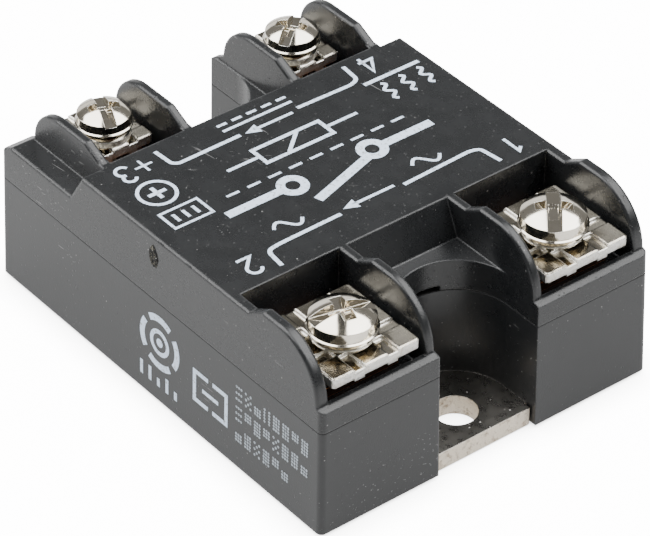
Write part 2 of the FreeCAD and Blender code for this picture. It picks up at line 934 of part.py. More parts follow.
def make_potting():
    """The gel that covers the substrate, shaped around everything it covers."""
    body = doc.addObject("PartDesign::Body", "gel_fill")
    inner_x = size("case_length") / 2 - size("wall")
    inner_y = size("case_width") / 2 - size("wall")
    bottom = size("plate_thick")
    depth = size("gel_top") - bottom
    add(body, "XY", bottom, depth, rectangle(-inner_x, -inner_y, inner_x, inner_y))
    cut(body, "XY", bottom, depth,
        *notch_outlines(size("notch_radius") + size("wall"), inner_x + 1))
    buried = [
        thing for thing in NODES
        if thing.Label in (
            "output_terminal_1", "output_terminal_2", "ceramic_substrate",
            "substrate_copper", "circuit_pads", "thyristor_1", "thyristor_2", "jumper_strap_1",
            "jumper_strap_2", "gate_pins",
        )
    ]
    gel = doc.addObject("Part::Cut", "potting_compound")
    gel.Base = body
    gel.Tool = fuse("buried_pieces", buried)
    node(gel, "potting_compound")


# ---------------------------------------------------------------- control board

def make_board():
    body = new_body("control_board")
    bottom = size("board_bottom")
    thick = size("board_thick")
    add(body, "XY", bottom, thick, rectangle(-14.8, -19.4, 12.8, 19.4))
    add(body, "XY", bottom, thick,
        *mirrored(rectangle, Size.of(-17.4), Size.of(9.6), Size.of(-14.6), Size.of(19.4)))
    low, high = leg_faces("in")
    cut(body, "XY", bottom, thick,
        *mirrored(rectangle, low - 0.15, size("in_place_y") - 0.6, high + 0.15,
                  size("in_place_y") + 0.6))
    for x, y in gate_spots():
        cut(body, "XY", bottom, thick, circle(x, y, 0.4))
    for x, y in lead_spots():
        cut(body, "XY", bottom, thick, circle(x, y, 0.4))


AXIAL_PARTS = {
    # node: (body radius, body length, [(x, y) of each])
    "input_resistors": (1.2, 5.6, [(-10.2, -12.5), (-7.4, -12.5)]),
    "gate_resistors": (1.2, 5.6, [(6.4, -1.5), (9.6, -1.5)]),
    "input_diode": (1.0, 4.2, [(-9.2, 0.0)]),
    "snubber_resistor": (1.6, 6.5, [(5.0, -13.4)]),
}


def axial_lead_reach(length):
    return length / 2 + 1.3


def lead_spots():
    """Every hole that a wire lead of a component needs in the board."""
    for radius, length, spots in AXIAL_PARTS.values():
        for x, y in spots:
            for end in (-1, 1):
                yield x, y + end * axial_lead_reach(length)
    for x, y in OPTO_PINS + CAPACITOR_LEADS + TRANSISTOR_LEADS:
        yield x, y


OPTO_PLACE = (-1.6, 0.0)
OPTO_PINS = [
    (OPTO_PLACE[0] + 2.54 * step, OPTO_PLACE[1] + 3.81 * side)
    for step in (-1, 0, 1)
    for side in (-1, 1)
]
CAPACITOR_PLACE = (4.6, 13.2)
CAPACITOR_LEADS = [(CAPACITOR_PLACE[0] + shift, CAPACITOR_PLACE[1]) for shift in (-3.75, 3.75)]
TRANSISTOR_PLACE = (-8.4, 10.5)
TRANSISTOR_LEADS = [(TRANSISTOR_PLACE[0] + shift, TRANSISTOR_PLACE[1])
                    for shift in (-1.27, 0.0, 1.27)]


def make_axial_parts():
    for label, (radius, length, spots) in AXIAL_PARTS.items():
        solids = []
        for x, y in spots:
            height = board_top() + radius + 0.4
            pieces = [
                cylinder(label + "_barrel", x, y - length / 2, height, radius, length,
                         axis=(0, 1, 0)),
                cylinder(label + "_wire", x, y - axial_lead_reach(length), height, 0.3,
                         2 * axial_lead_reach(length), axis=(0, 1, 0)),
            ]
            for end in (-1, 1):
                low = size("board_bottom") - 0.8
                pieces.append(cylinder(
                    label + "_lead", x, y + end * axial_lead_reach(length), low, 0.3,
                    height - low + 0.3))
            solids.append(fuse(label + "_one", pieces))
        if len(solids) == 1:
            node(solids[0], label)
        else:
            group(label, solids)


def make_optocoupler():
    """A six-pin moulded coupler standing on its formed leads."""
    body = new_body("optocoupler")
    x, y = OPTO_PLACE
    bottom = board_top() + 0.5
    add(body, "XY", bottom, 3.4, rectangle(x - 4.3, y - 3.2, x + 4.3, y + 3.2))
    dress("Chamfer", body, 0.3, lambda e: e.BoundBox.ZMin > bottom.number + 3)
    cut(body, "XY", bottom + 2.9, 1, circle(x - 3.0, y - 1.9, 0.5))
    pins = []
    for pin_x, pin_y in OPTO_PINS:
        side = 1 if pin_y > y else -1
        shelf = bottom + 1.5
        inner = y + 3.2 * side
        middle = (inner + pin_y + 0.2 * side) / 2
        reach = abs(pin_y + 0.2 * side - inner)
        low = size("board_bottom") - 0.8
        pins.append(fuse("coupler_pin", [
            block("coupler_pin_top", pin_x, middle, shelf, 1.2, reach, 0.3),
            block("coupler_pin_leg", pin_x, pin_y, low, 0.5, 0.4, shelf - low + 0.3),
        ]))
    group("optocoupler_pins", pins)


def make_capacitor():
    body = new_body("snubber_capacitor")
    x, y = CAPACITOR_PLACE
    bottom = board_top() + 0.3
    add(body, "XY", bottom, 6.4, rectangle(x - 5.1, y - 2.4, x + 5.1, y + 2.4))
    dress("Fillet", body, 0.5, lambda e: e.BoundBox.ZMax > bottom.number + 1)
    low = size("board_bottom") - 0.8
    add(body, "XY", low, bottom - low + 0.2,
        *[circle(lead_x, lead_y, 0.3) for lead_x, lead_y in CAPACITOR_LEADS])


def make_transistor():
    """A small moulded transistor: half-round body on three leads."""
    body = new_body("input_transistor")
    x, y = TRANSISTOR_PLACE
    bottom = board_top() + 0.8
    add(body, "XY", bottom, 4.6, circle(x, y, 2.3))
    cut(body, "XY", bottom, 4.6, rectangle(x - 3, y - 3, x + 3, y - 1.3))
    low = size("board_bottom") - 0.8
    add(body, "XY", low, bottom - low + 0.2,
        *[circle(lead_x, lead_y, 0.25) for lead_x, lead_y in TRANSISTOR_LEADS])


# ---------------------------------------------------------------- the whole relay

make_base_plate()
make_lower_case()
make_top_cover()

OUTPUTS = (("1", 1, -38.7), ("2", -1, 76.6))
INPUTS = (("3", -1, -20.4), ("4", 1, -55.0))
for number, side, turn in OUTPUTS:
    x = size("out_place_x")
    y = size("out_place_y") * side
    make_output_terminal("output_terminal_" + number, side)
    make_clamp("clamp_plate_" + number, size("out_clamp_place"), y,
               size("out_clamp_bottom"),
               size("out_clamp_x"), size("out_clamp_y"), size("clamp_thick"),
               x - size("out_clamp_place"), size("out_shank_radius") + 0.5,
               (size("out_collar_radius"), size("out_collar_height"), size("out_collar_bevel")),
               (2.2, 2.2), (1.4, 2.8))
    make_screw("terminal_screw_" + number, x, y, "out", turn)
for number, side, turn in INPUTS:
    x = -size("in_place_x")
    y = size("in_place_y") * side
    make_input_terminal("input_terminal_" + number, side)
    make_clamp("clamp_plate_" + number, -size("in_clamp_place"), y,
               size("in_clamp_bottom"), size("in_clamp_x"), size("in_clamp_y"),
               size("clamp_thick"), x + size("in_clamp_place"),
               size("in_shank_radius") + 0.8,
               (size("in_collar_radius"), size("in_collar_height"), size("in_collar_bevel")),
               (1.7, 1.7), (1.2, 1.75))
    make_screw("terminal_screw_" + number, x, y, "in", turn)

make_substrate()
make_thyristors()
make_gate_pins()
make_potting()
make_board()
make_optocoupler()
make_axial_parts()
make_capacitor()
make_transistor()
doc.recompute()

for thing in doc.Objects:
    if "Invalid" in thing.State or "Error" in thing.State:
        raise RuntimeError("{} is {}".format(thing.Label, thing.State))
os.makedirs("parts", exist_ok=True)
for thing in NODES:
    if thing.Shape.isNull() or not thing.Shape.isValid():
        raise RuntimeError("bad shape: " + thing.Label)
    thing.Shape.exportStep("parts/{}.step".format(thing.Label))
    print("{:20s} {:3d} solids {:10.2f} mm3".format(
        thing.Label, len(thing.Shape.Solids), thing.Shape.Volume))
print(len(NODES), "nodes")
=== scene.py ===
import math
import random

import bmesh
import bpy
from mathutils import Matrix, Vector
from mathutils.bvhtree import BVHTree


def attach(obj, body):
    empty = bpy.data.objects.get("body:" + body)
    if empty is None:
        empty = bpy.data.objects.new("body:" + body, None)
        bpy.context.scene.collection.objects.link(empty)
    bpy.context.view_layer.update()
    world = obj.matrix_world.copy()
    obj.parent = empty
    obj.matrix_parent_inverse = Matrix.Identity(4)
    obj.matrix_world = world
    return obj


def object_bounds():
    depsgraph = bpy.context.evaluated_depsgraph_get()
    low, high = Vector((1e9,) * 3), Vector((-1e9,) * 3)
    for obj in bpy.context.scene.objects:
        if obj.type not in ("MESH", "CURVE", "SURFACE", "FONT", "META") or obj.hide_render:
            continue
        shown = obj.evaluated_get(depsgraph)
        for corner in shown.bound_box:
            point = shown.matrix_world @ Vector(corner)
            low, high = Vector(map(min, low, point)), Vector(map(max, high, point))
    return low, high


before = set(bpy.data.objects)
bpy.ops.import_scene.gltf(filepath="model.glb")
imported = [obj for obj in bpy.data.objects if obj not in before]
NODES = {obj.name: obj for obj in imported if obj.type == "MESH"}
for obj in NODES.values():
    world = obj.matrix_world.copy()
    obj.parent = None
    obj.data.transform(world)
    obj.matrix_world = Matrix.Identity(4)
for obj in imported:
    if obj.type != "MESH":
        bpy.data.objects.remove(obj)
cad_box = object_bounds()

MM = 0.001
SCENE = bpy.context.scene
SEAM = 0.01375  # height of the seam between the two halves of the case

# ------------------------------------------------------------------ camera and studio

CAMERA_AT = (265.7283, -211.2066, 266.5688)  # millimetres
CAMERA_RIGHT = (0.620106, 0.784495, 0.005934)
CAMERA_UP = (-0.478898, 0.372533, 0.794906)
CAMERA_BACK = (0.62139, -0.495768, 0.606703)
CAMERA_LENS = 213.037
CAMERA_SENSOR = 36.0

# Level directions: from the camera past the object, and towards the right of the view.
AWAY = Vector((-0.7816, 0.6252, 0.0))
ACROSS = Vector((0.6252, 0.7816, 0.0))


def link(name, data, location=(0, 0, 0)):
    """A new object in the scene."""
    made = bpy.data.objects.new(name, data)
    made.location = location
    SCENE.collection.objects.link(made)
    return made


def make_camera():
    data = bpy.data.cameras.new("camera")
    data.lens = CAMERA_LENS
    data.sensor_width = CAMERA_SENSOR
    data.clip_start = 0.01
    data.clip_end = 20.0
    camera = link("camera", data)
    turn = Matrix((CAMERA_RIGHT, CAMERA_UP, CAMERA_BACK)).transposed()
    camera.matrix_world = Matrix.Translation(Vector(CAMERA_AT) * MM) @ turn.to_4x4()
    SCENE.camera = camera


def softbox(name, at, target, width, height, power, turn=0.0):
    """A rectangular soft light at a point, aimed at another, or straight down with a turn."""
    data = bpy.data.lights.new(name, "AREA")
    data.shape = "RECTANGLE"
    data.size = width
    data.size_y = height
    data.energy = power
    light = link(name, data, at)
    if target is None:
        light.rotation_euler = (0, 0, turn)
    else:
        aim = Vector(target) - Vector(at)
        light.rotation_euler = aim.to_track_quat("-Z", "Y").to_euler()


STUDIO_AIM = (0, 0, 0.01)
# The room's brightness by height: dim walls, and a darker ceiling.
ROOM_FADE = {"From Min": 0.68, "From Max": 0.86, "To Min": 0.22, "To Max": 0.05}


def make_studio():
    """Two overhead strips with a dark gap between them, two low boxes, a far strip, a dim room."""
    world = bpy.data.worlds.new("studio")
    SCENE.world = world
    world.use_nodes = True
    nodes, links = world.node_tree.nodes, world.node_tree.links
    background = nodes["Background"]
    background.inputs["Color"].default_value = (1.0, 0.99, 0.97, 1.0)
    split = nodes.new("ShaderNodeSeparateXYZ")
    links.new(nodes.new("ShaderNodeTexCoord").outputs["Generated"], split.inputs[0])
    fade = nodes.new("ShaderNodeMapRange")
    for socket, value in ROOM_FADE.items():
        fade.inputs[socket].default_value = value
    links.new(split.outputs["Z"], fade.inputs["Value"])
    links.new(fade.outputs[0], background.inputs["Strength"])
    over_turn = math.atan2(AWAY.y, AWAY.x)
    for name, sideways in (("over_left", -0.31), ("over_right", 0.31)):
        at = AWAY * 0.10 + ACROSS * sideways + Vector((0, 0, 0.58))
        softbox(name, at, None, 0.62, 0.46, 6.0, over_turn)
    softbox("low_left", (-0.46, -0.45, 0.37), STUDIO_AIM, 0.40, 0.30, 3.0)
    softbox("low_right", (0.46, 0.38, 0.47), STUDIO_AIM, 0.30, 0.30, 1.7)
    softbox("horizon", AWAY + Vector((0, 0, 0.23)), STUDIO_AIM, 1.80, 0.34, 2.2)


# ------------------------------------------------------------------ materials


class Finish:
    """One material's node tree. Each call adds nodes and gives back the output to use next."""

    def __init__(self, name):
        self.material = bpy.data.materials.new(name)
        self.material.use_nodes = True
        self.tree = self.material.node_tree
        self.shader = self.tree.nodes["Principled BSDF"]
        self.place = self.node("ShaderNodeTexCoord").outputs["Object"]

    def node(self, kind, inputs=(), **settings):
        made = self.tree.nodes.new(kind)
        for key, value in settings.items():
            setattr(made, key, value)
        for key, value in dict(inputs).items():
            self.put(made.inputs[key], value)
        return made

    def put(self, socket, value):
        if isinstance(value, bpy.types.NodeSocket):
            self.tree.links.new(value, socket)
        else:
            socket.default_value = value

    def surface(self, **values):
        """Sets the shader's own sockets, by name with underscores for spaces."""
        for key, value in values.items():
            self.put(self.shader.inputs[key.replace("_", " ")], value)

    def stretched(self, scale, turn=(0, 0, 0)):
        """The place on the piece, turned and then stretched along each axis."""
        turned = self.node("ShaderNodeMapping", {"Vector": self.place, "Rotation": turn})
        out = self.node(
            "ShaderNodeMapping", {"Vector": turned.outputs[0], "Scale": scale}
        )
        return out.outputs[0]

    def noise(self, scale, detail=2.0, rough=0.5, place=None):
        """Noise with features of 1/scale metres."""
        made = self.node(
            "ShaderNodeTexNoise",
            {
                "Vector": place or self.place,
                "Scale": scale,
                "Detail": detail,
                "Roughness": rough,
            },
        )
        return made.outputs["Fac"]

    def remap(self, value, low, high, to_low=0.0, to_high=1.0):
        made = self.node(
            "ShaderNodeMapRange",
            {
                "Value": value,
                "From Min": low,
                "From Max": high,
                "To Min": to_low,
                "To Max": to_high,
            },
        )
        return made.outputs["Result"]

    def sum(self, a, b, operation="ADD"):
        made = self.node("ShaderNodeMath", {0: a, 1: b}, operation=operation)
        return made.outputs[0]

    def blend(self, factor, a, b):
        made = self.node(
            "ShaderNodeMix", {0: factor, 6: a, 7: b}, data_type="RGBA"
        )
        return made.outputs[2]

    def bump(self, height, distance, normal=None):
        made = self.node("ShaderNodeBump", {"Height": height, "Distance": distance})
        if normal is not None:
            self.put(made.inputs["Normal"], normal)
        return made.outputs["Normal"]

    def soft_edges(self, radius):
        """The normal with every edge rounded to a radius, and how near an edge each point is."""
        rounded = self.node(
            "ShaderNodeBevel", {"Radius": radius}, samples=6
        ).outputs["Normal"]
        true = self.node("ShaderNodeNewGeometry").outputs["True Normal"]
        same = self.node(
            "ShaderNodeVectorMath", {0: rounded, 1: true}, operation="DOT_PRODUCT"
        ).outputs["Value"]
        return rounded, self.remap(same, 1.0, 0.80)

    def walls(self):
        """One on upright faces, nothing on level ones."""
        facing = self.node("ShaderNodeTexCoord").outputs["Normal"]
        level = self.node("ShaderNodeSeparateXYZ", {"Vector": facing}).outputs["Z"]
        return self.remap(self.sum(level, 0.0, "ABSOLUTE"), 0.5, 0.3)

    def sheared(self, tone, rough, normal, bare, stain, depth):
        """Upright faces turned to bare sheared metal: streaked, rough and stained."""
        wall = self.walls()
        streaks = self.noise(1.0, 4.0, 0.7, self.stretched((1500, 1500, 350)))
        torn = self.noise(2600.0, 3.0, 0.7)
        cut = self.blend(self.remap(self.noise(1100.0, 5.0, 0.75), 0.52, 0.66), bare, stain)
        relief = self.sum(self.sum(streaks, torn), wall, "MULTIPLY")
        return (
            self.blend(wall, tone, cut),
            self.sum(rough, self.sum(wall, 0.24, "MULTIPLY")),
            self.bump(relief, depth, normal),
        )

    def specks(self, scale, size, share):
        """Small separate dots: about one in a share of the cells, each with its own size."""
        cells = self.node(
            "ShaderNodeTexVoronoi", {"Vector": self.place, "Scale": scale}
        )
        dot = self.remap(cells.outputs["Distance"], size, size * 0.4)
        chance = self.node(
            "ShaderNodeSeparateColor", {"Color": cells.outputs["Color"]}
        ).outputs[0]
        kept = self.remap(chance, 1 - share, 1 - share + 0.02)
        return self.sum(dot, kept, "MULTIPLY")

    def scratches(self, turn, share):
        """Fine straight hairlines along one direction."""
        lines = self.noise(1.0, 1.0, 0.4, self.stretched((3200, 60, 3200), turn))
        patch = self.noise(90.0, 2.0, 0.5)
        fine = self.remap(lines, 0.78 - share, 0.80 - share)
        here = self.remap(patch, 0.55, 0.62)
        return self.sum(fine, here, "MULTIPLY")


def grey(value, warm=0.0):
    return (value * (1 + warm), value, value * (1 - warm), 1.0)


def moulded_plastic(name, base, edge, gloss, dust):
    """Black moulded plastic: mottled, with a painted highlight along its edges, dust, pits,
    hairlines and a dark seam.
    """
    finish = Finish(name)
    rounded, near_edge = finish.soft_edges(0.00030)
    broad = finish.noise(55.0, 3.0, 0.6)
    mottle = finish.noise(420.0, 5.0, 0.7)
    grain = finish.noise(5200.0, 2.0, 0.6)
    shade = finish.sum(
        finish.remap(broad, 0.3, 0.7, 0.0, 0.5), finish.remap(mottle, 0.3, 0.7, 0.0, 0.5)
    )
    body = finish.blend(shade, grey(base * 0.75, -0.08), grey(base * 1.25, -0.05))
    # Edges turn lighter by the rounded-edge mask, uneven with the mottle: a painted highlight.
    edge_highlight = finish.sum(near_edge, finish.remap(mottle, 0.35, 0.6, 0.35, 1.0), "MULTIPLY")
    colour = finish.blend(edge_highlight, body, grey(edge, -0.03))
    for turn in ((0.3, 0.2, 0.7), (0.2, 0.5, 2.3), (0.6, 0.1, 1.5)):
        colour = finish.blend(finish.scratches(turn, 0.035), colour, grey(edge * 1.3))
    colour = finish.blend(finish.specks(900.0, 0.10, dust), colour, grey(0.26, 0.02))
    colour = finish.blend(finish.specks(1900.0, 0.16, dust), colour, grey(0.10, 0.02))
    height = finish.node("ShaderNodeSeparateXYZ", {"Vector": finish.place}).outputs["Z"]
    off_seam = finish.sum(finish.sum(height, SEAM, "SUBTRACT"), 0.0, "ABSOLUTE")
    seam = finish.remap(off_seam, 0.00009, 0.00004)
    colour = finish.blend(seam, colour, grey(0.001))
    rough = finish.remap(mottle, 0.3, 0.7, gloss - 0.02, gloss + 0.03)
    pits = finish.sum(grain, finish.sum(finish.specks(1500.0, 0.20, dust * 2), -2.0, "MULTIPLY"))
    finish.surface(
        Base_Color=colour,
        Roughness=finish.sum(rough, finish.sum(seam, 0.5, "MULTIPLY")),
        Normal=finish.bump(pits, 0.000010, rounded),
        IOR=1.5,
    )
    return finish.material


def printed_ink():
    """Pad-printed light ink, a little thin and uneven."""
    finish = Finish("printed_ink")
    thin = finish.remap(finish.noise(2600.0, 3.0, 0.6), 0.30, 0.46)
    colour = finish.blend(thin, grey(0.30, -0.04), (0.70, 0.82, 0.98, 1.0))
    finish.surface(
        Base_Color=colour,
        Roughness=finish.remap(finish.noise(1500.0), 0.3, 0.7, 0.45, 0.6),
        Normal=finish.bump(finish.noise(4000.0), 0.000004),
    )
    return finish.material


def etched_ink():
    """Greyer marks on the side, as a thin dot-matrix code leaves them."""
    finish = Finish("etched_ink")
    thin = finish.remap(finish.noise(3400.0, 3.0, 0.6), 0.34, 0.50)
    colour = finish.blend(thin, grey(0.14, -0.03), (0.40, 0.45, 0.50, 1.0))
    finish.surface(
        Base_Color=colour,
        Roughness=finish.remap(finish.noise(1500.0), 0.3, 0.7, 0.5, 0.65),
        Normal=finish.bump(finish.noise(4000.0), 0.000004),
    )
    return finish.material


def screw_metal():
    """Bright plated steel: faintly clouded, with a painted highlight along its edges, tiny pits and
    hairlines.
    """
    finish = Finish("screw_nickel")
    rounded, near_edge = finish.soft_edges(0.00010)
    cloud = finish.noise(240.0, 4.0, 0.6)
    tone = finish.blend(finish.remap(cloud, 0.3, 0.7), (0.68, 0.62, 0.51, 1), (0.84, 0.79, 0.69, 1))
    # Points near an edge turn a paler colour: a painted highlight.
    tone = finish.blend(near_edge, tone, (0.97, 0.95, 0.90, 1))
    tone = finish.blend(finish.specks(2600.0, 0.22, 0.03), tone, grey(0.20, 0.05))
    lines = finish.scratches((0.2, 0.1, 1.1), 0.03)
    rough = finish.remap(finish.noise(700.0, 3.0, 0.6), 0.3, 0.7, 0.08, 0.15)
    finish.surface(
        Base_Color=tone,
        Metallic=1.0,
        Roughness=finish.sum(rough, finish.sum(lines, 0.15, "MULTIPLY")),
        Normal=finish.bump(finish.noise(430.0, 2.0, 0.5), 0.00002, rounded),
    )
    return finish.material


def clamp_metal():
    """Stamped and plated steel: a dished top, a painted highlight along its bent edges and torn
    sheared sides.
    """
    finish = Finish("clamp_nickel")
    rounded, near_edge = finish.soft_edges(0.00036)
    cloud = finish.noise(240.0, 4.0, 0.6)
    tone = finish.blend(
        finish.remap(cloud, 0.35, 0.65), (0.34, 0.31, 0.25, 1), (0.62, 0.58, 0.49, 1)
    )
    tone = finish.blend(finish.specks(2600.0, 0.22, 0.06), tone, grey(0.12, 0.05))
    # Points near an edge turn near-white: a painted highlight.
    tone = finish.blend(near_edge, tone, (0.96, 0.94, 0.88, 1))
    across = finish.node("ShaderNodeTexCoord").outputs["Generated"]
    spread = finish.node(
        "ShaderNodeVectorMath", {0: across, 1: (0.5, 0.5, 0.0)}, operation="SUBTRACT"
    ).outputs["Vector"]
    flat = finish.node(
        "ShaderNodeVectorMath", {0: spread, 1: (1.0, 1.0, 0.0)}, operation="MULTIPLY"
    ).outputs["Vector"]
    dish = finish.node(
        "ShaderNodeVectorMath", {0: flat, 1: flat}, operation="DOT_PRODUCT"
    ).outputs["Value"]
    normal = finish.bump(dish, 0.0013, rounded)
    normal = finish.bump(finish.noise(430.0, 2.0, 0.5), 0.00008, normal)
    rough = finish.remap(finish.noise(700.0, 3.0, 0.6), 0.3, 0.7, 0.10, 0.20)
    tone, rough, normal = finish.sheared(
        tone, rough, normal, (0.98, 0.96, 0.91, 1), (0.80, 0.75, 0.66, 1), 0.00022
    )
    finish.surface(Base_Color=tone, Metallic=1.0, Roughness=rough, Normal=normal)
    return finish.material


def plate_metal():
    """The base plate: dark polished faces with specks and hairlines, and pale sheared edges."""
    finish = Finish("plate_metal")
    rounded = finish.soft_edges(0.00015)[0]
    cloud = finish.noise(180.0, 4.0, 0.6)
    spots = finish.specks(2300.0, 0.26, 0.07)
    tone = finish.blend(cloud, (0.36, 0.34, 0.31, 1.0), (0.50, 0.48, 0.44, 1.0))
    tone = finish.blend(spots, tone, grey(0.85, 0.04))
    tone = finish.blend(finish.scratches((0, 0, 0.4), 0.03), tone, grey(0.6))
    rough = finish.remap(finish.noise(900.0, 4.0, 0.6), 0.3, 0.7, 0.24, 0.34)
    tone, rough, normal = finish.sheared(
        tone, rough, rounded, (0.84, 0.76, 0.64, 1), (0.42, 0.33, 0.24, 1), 0.00014
    )
    finish.surface(
        Base_Color=tone,
        Metallic=finish.remap(spots, 0.0, 1.0, 1.0, 0.0),
        Roughness=rough,
        Normal=normal,
    )
    return finish.material


def strip_copper():
    """Terminal copper with near-black faces as painted shade, and a painted highlight along its
    edges.
    """
    finish = Finish("strip_copper")
    rounded, near_edge = finish.soft_edges(0.00018)
    cloud = finish.noise(260.0, 4.0, 0.6)
    # The faces' near-black brown is painted shade, for the strip lying in shadow.
    tone = finish.blend(cloud, (0.05, 0.026, 0.016, 1), (0.12, 0.06, 0.036, 1))
    tone = finish.blend(finish.specks(1800.0, 0.2, 0.08), tone, (0.03, 0.02, 0.015, 1))
    finish.surface(
        # Edges turn bright orange: a painted highlight.
        Base_Color=finish.blend(near_edge, tone, (0.80, 0.38, 0.18, 1)),
        Metallic=1.0,
        Roughness=finish.remap(cloud, 0.3, 0.7, 0.50, 0.64),
        Normal=finish.bump(finish.noise(700.0, 3.0, 0.6), 0.00002, rounded),
    )
    return finish.material


def dull(name, low, high, scale, rough, metallic=0.0, height=0.00002, coat=0.0):
    """A plain inner finish in two tones, mottled at one scale, with a matching bump."""
    finish = Finish(name)
    cloud = finish.noise(scale, 4.0, 0.6)
    finish.surface(
        Base_Color=finish.blend(finish.remap(cloud, 0.3, 0.7), low, high),
        Roughness=finish.remap(finish.noise(scale * 3), 0.3, 0.7, rough - 0.06, rough + 0.06),
        Normal=finish.bump(cloud, height),
        Metallic=metallic,
        Coat_Weight=coat,
    )
    return finish.material


def ceramic():
    finish = Finish("ceramic_white")
    grains = finish.specks(1800.0, 0.35, 0.3)
    cloud = finish.noise(220.0, 4.0, 0.6)
    tone = finish.blend(cloud, (0.70, 0.68, 0.63, 1.0), (0.84, 0.83, 0.80, 1.0))
    finish.surface(
        Base_Color=finish.blend(grains, tone, (0.60, 0.58, 0.54, 1.0)),
        Roughness=finish.remap(cloud, 0.3, 0.7, 0.45, 0.6),
        Normal=finish.bump(grains, 0.000005),
    )
    return finish.material


def laminate():
    """Green board laminate with the glass weave faintly showing."""
    finish = Finish("board_laminate")
    warp = finish.noise(1.0, 2.0, 0.5, finish.stretched((2200, 160, 160)))
    weft = finish.noise(1.0, 2.0, 0.5, finish.stretched((160, 2200, 160)))
    weave = finish.sum(warp, weft)
    tone = finish.blend(
        finish.remap(weave, 0.8, 1.2), (0.015, 0.085, 0.030, 1.0), (0.030, 0.13, 0.045, 1.0)
    )
    finish.surface(
        Base_Color=tone,
        Roughness=finish.remap(weave, 0.8, 1.2, 0.28, 0.42),
        Normal=finish.bump(weave, 0.000010),
    )
    return finish.material


def potting_gel():
    finish = Finish("gel_clear")
    cloud = finish.noise(140.0, 3.0, 0.5)
    bubbles = finish.specks(700.0, 0.16, 0.3)
    tone = finish.blend(cloud, (0.52, 0.50, 0.42, 1.0), (0.66, 0.65, 0.58, 1.0))
    finish.surface(
        Base_Color=finish.blend(bubbles, tone, (0.80, 0.80, 0.76, 1.0)),
        Roughness=finish.remap(cloud, 0.3, 0.7, 0.10, 0.22),
        Normal=finish.bump(finish.sum(cloud, bubbles), 0.00003),
        Subsurface_Weight=0.2,
        IOR=1.41,
    )
    return finish.material


def scar_plastic():
    """Torn plastic, rough and dark with light specks."""
    finish = Finish("gate_scar_plastic")
    torn = finish.noise(2600.0, 5.0, 0.8)
    colour = finish.blend(finish.remap(torn, 0.50, 0.62), grey(0.002), (0.16, 0.15, 0.12, 1))
    finish.surface(
        Base_Color=finish.blend(finish.specks(4200.0, 0.35, 0.22), colour, grey(0.55)),
        Roughness=finish.remap(torn, 0.3, 0.7, 0.55, 0.9),
        Normal=finish.bump(torn, 0.00016),
        Specular_IOR_Level=0.25,
    )
    return finish.material


def make_finishes():
    """Every finish by name."""
    return {
        "case": moulded_plastic("case_plastic", 0.016, 0.10, 0.29, 0.13),
        "cover": moulded_plastic("cover_plastic", 0.014, 0.10, 0.27, 0.18),
        "scar": scar_plastic(),
        "ink": printed_ink(),
        "etch": etched_ink(),
        "plate": plate_metal(),
        "clamp": clamp_metal(),
        "screw": screw_metal(),
        "copper": strip_copper(),
        "circuit": dull(
            "circuit_copper", (0.60, 0.26, 0.13, 1), (0.74, 0.36, 0.20, 1), 500.0, 0.38, 1.0
        ),
        "ceramic": ceramic(),
        "silicon": dull(
            "silicon_die", (0.045, 0.05, 0.065, 1), (0.09, 0.10, 0.13, 1), 900.0, 0.18, 0.6
        ),
        "solder": dull(
            "tinned_wire", (0.52, 0.52, 0.53, 1), (0.70, 0.70, 0.70, 1), 1200.0, 0.26, 1.0
        ),
        "gel": potting_gel(),
        "board": laminate(),
        "white": dull(
            "component_white", (0.62, 0.62, 0.60, 1), (0.74, 0.74, 0.72, 1), 800.0, 0.45
        ),
        "tan": dull(
            "component_tan", (0.50, 0.36, 0.20, 1), (0.62, 0.47, 0.29, 1), 900.0, 0.5
        ),
        "black": dull(
            "component_black", (0.018, 0.018, 0.020, 1), (0.034, 0.034, 0.036, 1), 1500.0, 0.5
        ),
        "red": dull(
            "component_red", (0.42, 0.09, 0.05, 1), (0.55, 0.14, 0.08, 1), 900.0, 0.35, coat=0.3
        ),
    }


NODE_FINISH = {
    "base_plate": "plate",
    "lower_case": "case",
    "top_cover": "cover",
    "output_terminal_1": "copper",
    "output_terminal_2": "copper",
    "input_terminal_3": "copper",
    "input_terminal_4": "copper",
    "clamp_plate_1": "clamp",
    "clamp_plate_2": "clamp",
    "clamp_plate_3": "clamp",
    "clamp_plate_4": "clamp",
    "terminal_screw_1": "screw",
    "terminal_screw_2": "screw",
    "terminal_screw_3": "screw",
    "terminal_screw_4": "screw",
    "ceramic_substrate": "ceramic",
    "substrate_copper": "circuit",
    "circuit_pads": "circuit",
    "thyristor_1": "silicon",
    "thyristor_2": "silicon",
    "jumper_strap_1": "copper",
    "jumper_strap_2": "copper",
    "gate_pins": "solder",
    "potting_compound": "gel",
    "control_board": "board",
    "optocoupler": "white",
    "optocoupler_pins": "solder",
    "input_resistors": "tan",
    "gate_resistors": "tan",
    "input_diode": "black",
    "snubber_resistor": "tan",
    "snubber_capacitor": "red",
    "input_transistor": "black",
}


def dress_nodes(finishes):
    for name, finish in NODE_FINISH.items():
        node = NODES[name]
        if not node.material_slots:
            node.data.materials.append(finishes[finish])
        for held in node.material_slots:
            held.material = finishes[finish]


# ------------------------------------------------------------------ printed marks

# How far a mark stands above its face, how far it reaches below it, and the step between levels.
INK_ABOVE = 0.000018
INK_BELOW = 0.000030
INK_STEP = 0.000004
STROKE = 0.42  # a mark's usual line width, in millimetres
PROBE = 0.02  # how far outside the face the search for its surface starts


class Face:
    """A face of the case that marks lie on: two coordinates in millimetres give a point on it."""

    def __init__(self, node, outward, spot):
        mesh = NODES[node].data
        self.tree = BVHTree.FromPolygons(
            [v.co.copy() for v in mesh.vertices], [tuple(p.vertices) for p in mesh.polygons]
        )
        self.outward = Vector(outward)
        self.spot = spot

    def at(self, a, b):
        flat = Vector(self.spot(a, b)) * MM
        found = self.tree.ray_cast(flat + self.outward * PROBE, -self.outward)[0]
        return found if found is not None else flat


